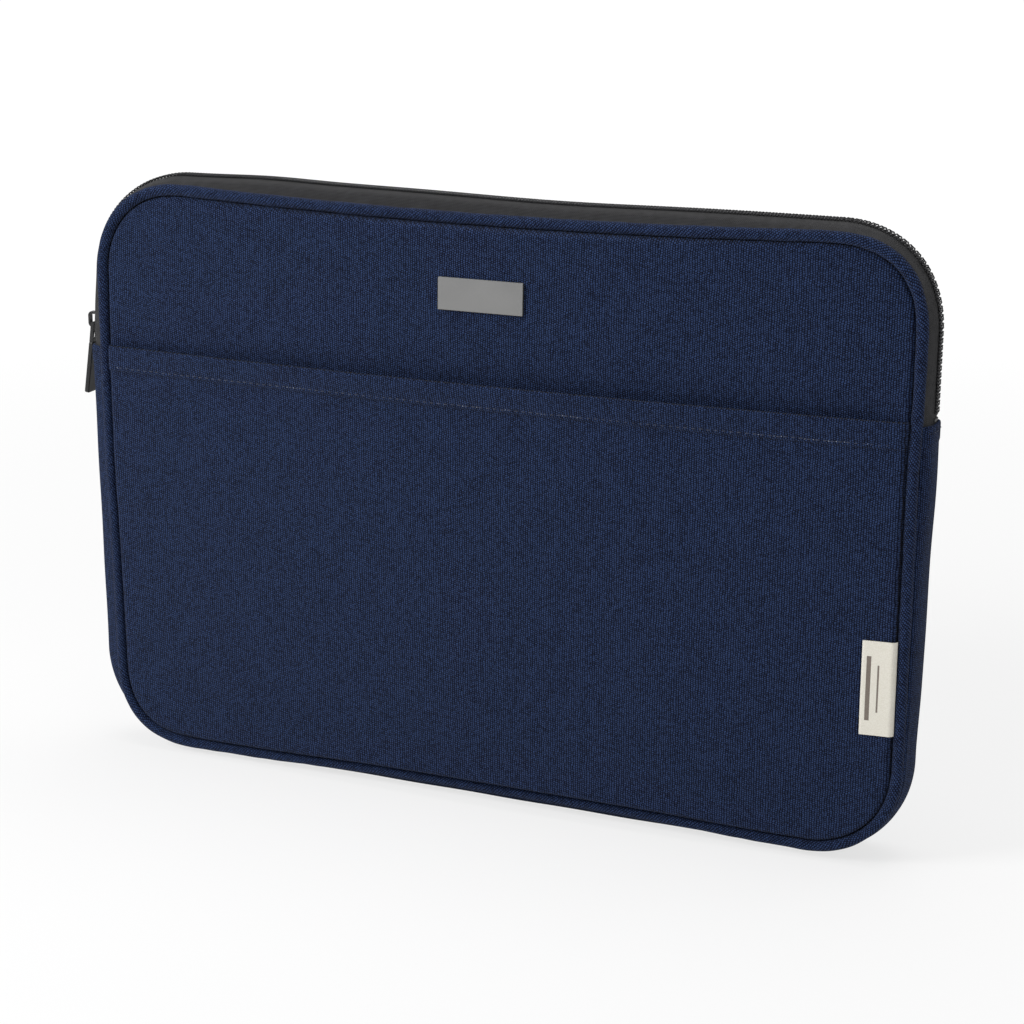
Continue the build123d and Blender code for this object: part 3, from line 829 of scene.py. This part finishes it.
def gusset(name, crest, wall, finish, top_fold):
    """A cloth arch between the two pipings, carried from one end of the zipper, round the bottom, to the
    other. Its last stretch is turned under, so it stands a little thicker and rounds over at the end."""
    start, end = GUSSET_SHARES
    body = np.linspace(start, end, 461)
    tip = np.array([0, 0.1, 0.3, 0.6, 1.0, 1.6, 2.6, 4.0, 5.4, 6.6, 7.4, 8.2]) * MM / SEAM_LENGTH
    s = np.unique(np.concatenate([start + tip, body, end - tip]))
    depths = np.linspace(-10.9, 10.9, 41) * MM
    from_end = np.minimum(s - start, end - s) * SEAM_LENGTH
    fold = top_fold * (1 - smooth((from_end - 6.4 * MM) / (1.6 * MM)))
    rounded = np.clip(from_end / (0.9 * MM), 0, 1)
    round_over = 0.75 * wall * (1 - np.sqrt(np.clip(1 - (1 - rounded) ** 2, 0, 1)))
    lift = (fold - round_over)[:, None]
    uneven = 0.12 * MM * np.sin(s * 2 * math.pi * 23)[:, None] * (1 - (np.abs(depths) / (11 * MM)) ** 2)
    outer_off = gusset_arch(depths, crest) + lift + (uneven - 0.12 * MM)
    on_floor = np.abs(seam_course(s % 1.0)[3] + 1) < 1e-6
    outer_off = np.where(on_floor[:, None], np.minimum(outer_off, crest), outer_off)
    inner_off = gusset_arch(depths, crest - wall)
    outer = settle(along_seam(s % 1.0, outer_off, depths))
    inner = settle(along_seam(s % 1.0, inner_off, depths))
    piece = shell(name, outer, inner, path_and_width(s, outer))
    dress(piece, finish)
    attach(piece, "sleeve")
    return piece


gusset_cloth = gusset("gusset_cloth", GUSSET_CREST, GUSSET_WALL, CANVAS, 0.35 * MM)
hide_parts("gusset_canvas")
INSIDE_CREST = GUSSET_CREST - GUSSET_WALL - 0.12 * MM
gusset_lining_cloth = gusset("gusset_inside", INSIDE_CREST, LINING, LINING_CLOTH, 0)
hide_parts("gusset_lining")


# ======================================================================================================
# stitches
# ======================================================================================================
def capsules(name, middles, along, outward, lengths, radius):
    """Many short threads as one mesh. Each is a grid of rings round its direction, whose radius follows a
    circle's height towards both ends and whose ends dip into the cloth."""
    rings, sides = 7, 6
    travel = np.linspace(-1, 1, rings)
    girth = np.sqrt(np.clip(1 - travel**2, 0, 1)) ** 0.6
    angle = np.arange(sides) * 2 * math.pi / sides
    third = np.cross(along, outward)
    centre = middles[:, None, :] + along[:, None, :] * (travel[None, :, None] * lengths[:, None, None] / 2)
    centre = centre - outward[:, None, :] * (travel[None, :, None] ** 2 * radius * 1.3)
    circle = np.cos(angle)[None, None, :, None] * outward[:, None, None, :]
    circle = circle + np.sin(angle)[None, None, :, None] * third[:, None, None, :]
    points = centre[:, :, None, :] + circle * (radius * girth)[None, :, None, None]
    count = len(middles)
    i, j = np.meshgrid(np.arange(rings - 1), np.arange(sides), indexing="ij")
    near, far = i * sides + j, i * sides + (j + 1) % sides
    one = np.stack([near, far, far + sides, near + sides], -1).reshape(-1, 4)
    faces = (one[None] + (np.arange(count) * rings * sides)[:, None, None]).reshape(-1, 4)
    flat = points.reshape(-1, 3)
    return make_piece(name, flat, faces, flat[:, [0, 2]])


def face_normal(x, z, side, lift=0.0):
    """The outward direction of a panel's face, from its slope over a millimetre."""
    step = 0.5 * MM
    slope_x = (face_depth(x + step, z, lift) - face_depth(x - step, z, lift)) / (2 * step)
    slope_z = (face_depth(x, z + step, lift) - face_depth(x, z - step, lift)) / (2 * step)
    normal = np.stack([-slope_x, np.full_like(x, side), -slope_z], -1)
    return normal / np.linalg.norm(normal, axis=-1, keepdims=True)


def mouth_gape(x, z):
    """How far the pocket's mouth stands off the panel: a parabola across, growing upwards over the hem."""
    return POCKET_GAPE * (1 - (x / HALF_W) ** 2) * smooth((z - HEM_LOW + 4 * MM) / (14 * MM))


def hem_stitches():
    """The row that holds the pocket's hem: most stitches lie in the cloth's own navy, and here and there a
    pale bobbin thread shows as a speck at a needle hole."""
    draw = np.random.default_rng(7)
    half = HALF_W - 4 * MM
    count = int(2 * half / STITCH_PITCH)
    x = (np.arange(count) - (count - 1) / 2) * STITCH_PITCH
    x = x + draw.uniform(-0.15, 0.15, count) * MM
    z = STITCH_Z + draw.uniform(-0.12, 0.12, count) * MM
    depth = face_depth(x, z, HEM_LIFT) + mouth_gape(x, z) - 0.3 * MM
    middles = settle(np.stack([x, -depth, z], -1))
    outward = face_normal(x, z, -1, HEM_LIFT)
    along = np.cross(outward, np.array([0.0, 0.0, 1.0]))
    along = along / np.linalg.norm(along, axis=-1, keepdims=True)
    navy = capsules("hem_stitches", middles, along, outward, np.full(count, 2.3 * MM), 0.27 * MM)
    dress(navy, NAVY_THREAD)
    clump = np.sin(x / (17 * MM)) + 0.6 * np.sin(x / (6.3 * MM) + 2)
    chosen = (draw.uniform(-1, 1, count) * 1.2 + clump) > 0.95
    holes = middles[chosen] + along[chosen] * 1.5 * MM + outward[chosen] * 0.1 * MM
    size = draw.uniform(0.45, 0.7, chosen.sum()) * MM
    specks = capsules("hem_stitch_specks", holes, along[chosen], outward[chosen], size, 0.22 * MM)
    dress(specks, PALE_THREAD)
    return navy, specks


navy_stitches, pale_specks = hem_stitches()
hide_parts("pocket_hem_stitching")
for piece in (navy_stitches, pale_specks):
    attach(piece, "sleeve")


def gusset_end_stitches():
    """A short row across each end of the gusset."""
    rows = []
    for side in (-1, 1):
        depths = (np.arange(6) - 2.5) * 3.0 * MM
        x = side * (HALF_W + gusset_arch(depths, GUSSET_CREST) + 0.2 * MM)
        rows.append(np.stack([x, depths, np.full(6, GUSSET_TOP - 2.6 * MM)], -1))
    middles = settle(np.concatenate(rows))
    along = np.tile([0.0, 1.0, 0.0], (12, 1))
    outward = np.stack([np.sign(middles[:, 0]), np.zeros(12), np.zeros(12)], -1)
    piece = capsules("gusset_end_stitches", middles, along, outward, np.full(12, 1.6 * MM), 0.2 * MM)
    return dress(piece, NAVY_THREAD)


end_stitches = gusset_end_stitches()
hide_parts("gusset_end_stitching")
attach(end_stitches, "sleeve")


# ======================================================================================================
# pocket
# ======================================================================================================
def pocket():
    """The slip pocket: a cloth over the lower panel, from the bottom seam to its hem. The grid's rows
    are level and reach from side to side, narrowing as the corners do. Above the hem's lower edge it is
    double, the stitch line presses a valley into it, and the top edge rounds over."""
    low = MID_Z - HALF_H
    low_steps = np.array([-0.6, 0, 0.12, 0.35, 0.7, 1.2, 1.8, 2.6, 3.6, 5, 7, 10]) * MM + low
    near_stitches = [-3, -1.5, -0.7, -0.3, 0, 0.3, 0.6, 0.9, 1.2, 1.5, 1.8, 2.4, 3.4, 5, 7]
    hem_steps = HEM_LOW + np.array(near_stitches) * MM
    top_steps = POCKET_TOP - np.array([2, 1.2, 0.8, 0.5, 0.3, 0.15, 0.05, 0]) * MM
    between = np.linspace(low + 13 * MM, HEM_LOW - 6 * MM, 48)
    z_rows = np.concatenate([low_steps, between, hem_steps, top_steps])
    in_side = np.array([-0.6, 0, 0.12, 0.35, 0.7, 1.2, 1.8, 2.6, 3.6, 5, 7]) * MM
    middle = np.linspace(-1, 1, 91)[1:-1] * (HALF_W - 9 * MM)
    across = np.concatenate([-HALF_W + in_side, middle, (HALF_W - in_side)[::-1]]) / HALF_W

    def half_width(z, radius):
        below = np.clip(low + radius - z, 0, radius)
        return HALF_W - radius + np.sqrt(np.clip(radius**2 - below**2, 0, None))

    widths = np.where(
        across[None, :] > 0,
        half_width(z_rows, CORNER_R["right_low"])[:, None],
        half_width(z_rows, CORNER_R["left_low"])[:, None],
    )
    x = across[None, :] * widths
    z = np.broadcast_to(z_rows[:, None], x.shape)
    over_hem = smooth((z - HEM_LOW + 0.6 * MM) / (1.0 * MM))
    valley = np.exp(-(((z - STITCH_Z) / (0.7 * MM)) ** 2))
    beat = 0.5 + 0.5 * np.cos(2 * math.pi * x / STITCH_PITCH)
    edge = np.clip((POCKET_TOP - z) / (1.2 * MM), 0, 1)
    over_edge = 1 - np.sqrt(np.clip(1 - (1 - edge) ** 2, 0, 1))
    lift = POCKET_LIFT + (HEM_LIFT - POCKET_LIFT) * over_hem - 0.3 * MM * valley * (0.6 + 0.4 * beat)
    gape = mouth_gape(x, z)
    slack = 0.22 * MM * ripple(x, z, 5) * smooth((z - low) / (60 * MM)) * smooth((POCKET_TOP - z) / (8 * MM))
    outer_depth = face_depth(x, z, lift) + slack + gape - 0.8 * MM * over_edge
    inner_depth = np.minimum(face_depth(x, z, 0.25 * MM) + gape, outer_depth - 0.25 * MM)
    outer = settle(np.stack([x, -outer_depth, z], -1))
    inner = settle(np.stack([x, -inner_depth, z], -1))
    cloth = outer[..., [0, 2]] + np.array([3.3, 1.7]) * MM
    piece = shell("pocket_cloth", outer, inner, cloth, sharp=None)
    dress(piece, CANVAS)
    return piece


pocket_cloth = pocket()
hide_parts("pocket_panel", "pocket_hem")
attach(pocket_cloth, "sleeve")


# ======================================================================================================
# zipper
# ======================================================================================================
TAPE_SHARES = (share_at_height(TAPE_TAIL, 1), share_at_height(TAPE_TAIL, -1))
CHAIN_SHARES = (share_at_height(COIL_LOW, 1), share_at_height(COIL_LOW, -1))


def tape_arch(depths):
    """How far outside the seam the tape lies: highest under the coil, a little lower beside it, then
    falling away to the piping."""
    away = np.clip((np.abs(depths) - 3.2 * MM) / (7.8 * MM), 0, 1)
    under_coil = 1 - smooth((np.abs(depths) - 2.2 * MM) / (1.1 * MM))
    return TAPE_CREST + 0.22 * MM * under_coil - 3.05 * MM * away**1.25


def zipper_tape(name, side):
    """One zipper tape, carried over the top from one gusset end to the other."""
    s = np.linspace(*TAPE_SHARES, 521)
    beside_chain = [0.25, 0.9, 1.9, 2.3, 2.7, 3.0, 3.3, 3.8, 4.4]
    to_piping = [5.0, 5.8, 6.6, 7.4, 8.2, 9.0, 9.8, 10.6, 11.2]
    depths = np.array(beside_chain + to_piping) * MM
    offsets = tape_arch(depths)
    uneven = 0.1 * MM * np.sin(s * 2 * math.pi * 41)[:, None] * smooth((depths - 4 * MM) / (3 * MM))
    outer = settle(along_seam(s, offsets + uneven, side * depths))
    inner = settle(along_seam(s, offsets - TAPE_WALL + uneven, side * depths))
    piece = shell(name, outer, inner, path_and_width(s, outer))
    dress(piece, TAPE_CLOTH)
    return piece


def coil(name, side):
    """One row of the chain: a nylon filament wound as an oval helix along the tape, its tube swept by a
    small circle that stays square to the winding."""
    length = (CHAIN_SHARES[1] - CHAIN_SHARES[0]) * SEAM_LENGTH
    turns = int(length / COIL_PITCH)
    steps = 12
    t = np.linspace(0, turns * 2 * math.pi, turns * steps + 1)
    share = CHAIN_SHARES[0] + (CHAIN_SHARES[1] - CHAIN_SHARES[0]) * t / t[-1]
    phase = t + (0 if side < 0 else math.pi)
    wide, tall = COIL_HALF
    depth = side * 1.55 * MM + wide * np.cos(phase)
    x, z, out_x, out_z = seam_course(share)
    offset = COIL_OFF + tall * np.sin(phase)
    line = np.stack([x + offset * out_x, depth, z + offset * out_z], -1)
    ahead = np.gradient(line, axis=0)
    ahead = ahead / np.linalg.norm(ahead, axis=1, keepdims=True)
    out = np.stack([out_x, np.zeros_like(out_x), out_z], -1)
    radial = np.cos(phase)[:, None] * np.array([0.0, 1.0, 0.0]) + np.sin(phase)[:, None] * out
    binormal = np.cross(ahead, radial)
    binormal = binormal / np.linalg.norm(binormal, axis=1, keepdims=True)
    radial = np.cross(binormal, ahead)
    angle = np.linspace(0, 2 * math.pi, 6)
    ring = radial[:, None, :] * np.cos(angle)[None, :, None]
    ring = ring + binormal[:, None, :] * np.sin(angle)[None, :, None]
    points = settle(line[:, None, :] + MONOFILAMENT_R * ring)
    cloth = np.stack(np.meshgrid(t * 0.2 * MM, angle * MONOFILAMENT_R, indexing="ij"), -1)
    piece = make_piece(name, points, quads(len(t), len(angle)), cloth)
    return dress(piece, NYLON)


def coil_stitches(name, side):
    """The two threads that sew a coil row to its tape: a stitch over every second loop, in two lines."""
    length = (CHAIN_SHARES[1] - CHAIN_SHARES[0]) * SEAM_LENGTH
    count = int(length / (2 * COIL_PITCH))
    share = CHAIN_SHARES[0] + (CHAIN_SHARES[1] - CHAIN_SHARES[0]) * (np.arange(count) + 0.5) / count
    x, z, out_x, out_z = seam_course(share)
    outward = np.stack([out_x, np.zeros(count), out_z], -1)
    along = np.stack([-out_z, np.zeros(count), out_x], -1)
    lines = []
    for depth in (1.35 * MM, 2.15 * MM):
        offset = COIL_OFF + COIL_HALF[1]
        lines.append(np.stack([x + offset * out_x, np.full(count, side * depth), z + offset * out_z], -1))
    middles = settle(np.concatenate(lines))
    both = (np.concatenate([along, along]), np.concatenate([outward, outward]))
    piece = capsules(name, middles, *both, np.full(2 * count, 2.5 * MM), 0.13 * MM)
    return dress(piece, BLACK_THREAD)


front_tape = zipper_tape("front_tape", -1)
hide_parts("zipper_tape_front", "zipper_tape_front_tails")
back_tape = zipper_tape("back_tape", 1)
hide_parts("zipper_tape_back")
front_coil = coil("front_coil", -1)
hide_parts("zipper_coil_front")
back_coil = coil("back_coil", 1)
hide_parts("zipper_coil_back")
front_coil_stitches = coil_stitches("front_coil_stitches", -1)
back_coil_stitches = coil_stitches("back_coil_stitches", 1)
for piece in (front_tape, front_coil, front_coil_stitches):
    bend_with_mouth(piece)
for piece in (back_tape, back_coil, back_coil_stitches):
    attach(piece, "sleeve")


# ======================================================================================================
# side label
# ======================================================================================================
def side_label():
    """A folded woven strip: a flat rectangle on the pocket that follows the panel, lifts a little at its
    free, folded edge and dips into the seam at the other."""
    low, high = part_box("side_label")
    across = np.linspace(0, 1, 25)
    up = np.linspace(0, 1, 49)
    start, end = low[0] + 1.6 * MM, HALF_W + 0.6 * MM
    x = start + (end - start) * across
    x, z = np.meshgrid(x, low[2] + (high[2] - low[2]) * up)
    share = np.broadcast_to(across[None, :], x.shape)
    base = face_depth(np.minimum(x, HALF_W - 2.2 * MM), z, POCKET_LIFT)
    dip = np.clip((x - HALF_W + 1.4 * MM) / (2.0 * MM), 0, 1) ** 2
    curl = 0.5 * MM * (1 - share) ** 2 + 0.18 * MM * np.sin(z / (9 * MM)) * (1 - share)
    outer_depth = base + 0.8 * MM + curl - 1.6 * MM * dip
    edge = np.clip(across / 0.03, 0, 1)
    half_thick = 0.28 * MM * np.sqrt(np.clip(1 - (1 - edge) ** 2, 0.02, 1))
    outer = np.stack([x, -(outer_depth - 0.28 * MM + half_thick), z], -1)
    inner = np.stack([x, -(outer_depth - 0.28 * MM - half_thick), z], -1)
    cloth = np.stack([x - (low[0] + high[0]) / 2, z - (low[2] + high[2]) / 2], -1)
    piece = shell("side_label_cloth", settle(outer), settle(inner), cloth, sharp=40)
    dress(piece, LABEL_CLOTH)
    return piece


label = side_label()
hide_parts("side_label")
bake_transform(label)

# ======================================================================================================
# metal and plastic pieces keep their CAD shape
# ======================================================================================================
CAD_FINISHES = {
    "badge_plate": BADGE_METAL,
    "badge_backing_plate": STOP_METAL,
    "zipper_top_stops": STOP_METAL,
    "zipper_bottom_stop": STOP_METAL,
    "slider_body": ENAMEL,
    "slider_bail": ENAMEL,
    "pull_link": ENAMEL,
    "pull_tab": PULL_PLASTIC,
}
for node, finish in CAD_FINISHES.items():
    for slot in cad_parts[node].material_slots:
        slot.material = finish


# ======================================================================================================
# floor, light and camera
# ======================================================================================================
def floor():
    """A wide pale floor that shows near white to the camera and keeps the sleeve's soft shadow."""
    finish = Finish("floor_white", Roughness=0.9, Specular_IOR_Level=0.1)
    cloud = finish.noise(finish.object_place(), 2.0)
    finish.colour(finish.mix(cloud, (0.86, 0.86, 0.86, 1), (0.88, 0.88, 0.88, 1)))
    glow = finish.nodes.new("ShaderNodeEmission")
    glow.inputs["Color"].default_value = (1, 1, 1, 1)
    glow.inputs["Strength"].default_value = 1.03
    seen = finish.nodes.new("ShaderNodeLightPath")
    length = {"operation": "LENGTH"}
    away = finish.node("ShaderNodeVectorMath", out=1, settings=length, i0=finish.object_place())
    sweep = finish.node("ShaderNodeMapRange", Value=away, i1=0.35, i2=1.1, i3=0.7, i4=1.0)
    share = finish.math("MULTIPLY", seen.outputs["Is Camera Ray"], sweep)
    blend = finish.nodes.new("ShaderNodeMixShader")
    finish.links.new(share, blend.inputs[0])
    finish.links.new(finish.surface.outputs[0], blend.inputs[1])
    finish.links.new(glow.outputs[0], blend.inputs[2])
    finish.links.new(blend.outputs[0], finish.nodes["Material Output"].inputs["Surface"])
    mesh = bpy.data.meshes.new("floor")
    far = 8.0
    mesh.from_pydata([(-far, -far, 0), (far, -far, 0), (far, far, 0), (-far, far, 0)], [], [(0, 1, 2, 3)])
    mesh.materials.append(finish.material)
    plane = bpy.data.objects.new("floor", mesh)
    bpy.context.scene.collection.objects.link(plane)


def soft_light(name, place, aim, size, watts):
    """A square soft box that faces a point."""
    lamp = bpy.data.lights.new(name, "AREA")
    lamp.shape, lamp.size, lamp.energy = "SQUARE", size, watts
    box = bpy.data.objects.new(name, lamp)
    box.location = place
    box.rotation_euler = (Vector(aim) - Vector(place)).to_track_quat("-Z", "Y").to_euler()
    bpy.context.scene.collection.objects.link(box)


def world_light(level):
    """Even grey light from all round; the camera sees it as white."""
    world = bpy.data.worlds.new("studio")
    bpy.context.scene.world = world
    world.use_nodes = True
    nodes, links = world.node_tree.nodes, world.node_tree.links
    seen = nodes.new("ShaderNodeLightPath")
    direct = nodes.new("ShaderNodeMath")
    direct.operation = "MAXIMUM"
    links.new(seen.outputs["Is Camera Ray"], direct.inputs[0])
    links.new(seen.outputs["Is Transmission Ray"], direct.inputs[1])
    strength = nodes.new("ShaderNodeMapRange")
    strength.inputs["To Min"].default_value = level
    strength.inputs["To Max"].default_value = 1.0
    links.new(direct.outputs[0], strength.inputs["Value"])
    ground = nodes["Background"]
    ground.inputs["Color"].default_value = (1, 1, 1, 1)
    links.new(strength.outputs[0], ground.inputs["Strength"])


CAMERA_AZIMUTH = math.radians(22.749)
CAMERA_ELEVATION = math.radians(15.866)
CAMERA_DISTANCE = 1.00414
CAMERA_AIM = Vector((0, -12.0 * MM, MID_Z))
CAMERA_YAW = math.radians(0.6)
CAMERA_ROLL = math.radians(0.193)
LENS = 88.26


def camera():
    """A long lens to the right of the front and a little above, aimed just beside the panel's middle."""
    azimuth, elevation = CAMERA_AZIMUTH, CAMERA_ELEVATION
    back = Vector(
        (
            math.sin(azimuth) * math.cos(elevation),
            -math.cos(azimuth) * math.cos(elevation),
            math.sin(elevation),
        )
    )
    right = (-back).cross(Vector((0, 0, 1))).normalized()
    up = right.cross(-back)
    ahead = -back * math.cos(CAMERA_YAW) + right * math.sin(CAMERA_YAW)
    right = ahead.cross(up).normalized()
    up = right.cross(ahead)
    turn = Matrix.Rotation(-CAMERA_ROLL, 3, ahead)
    right, up = turn @ right, turn @ up
    data = bpy.data.cameras.new("camera")
    data.lens, data.sensor_width = LENS, 36.0
    eye = bpy.data.objects.new("camera", data)
    basis = Matrix((right, up, -ahead)).transposed().to_4x4()
    eye.matrix_world = Matrix.Translation(CAMERA_AIM + back * CAMERA_DISTANCE) @ basis
    bpy.context.scene.collection.objects.link(eye)
    bpy.context.scene.camera = eye


floor()
soft_light("key", (-0.95, -0.95, 0.9), (0, 0, 0.13), 0.55, 15)
soft_light("fill", (1.5, -1.2, 0.6), (0, 0, 0.12), 1.2, 2.9)
soft_light("top", (0.1, 0.2, 1.7), (0, 0, 0.1), 1.2, 12)
world_light(0.32)
camera()
bpy.context.scene.view_settings.view_transform = "Standard"
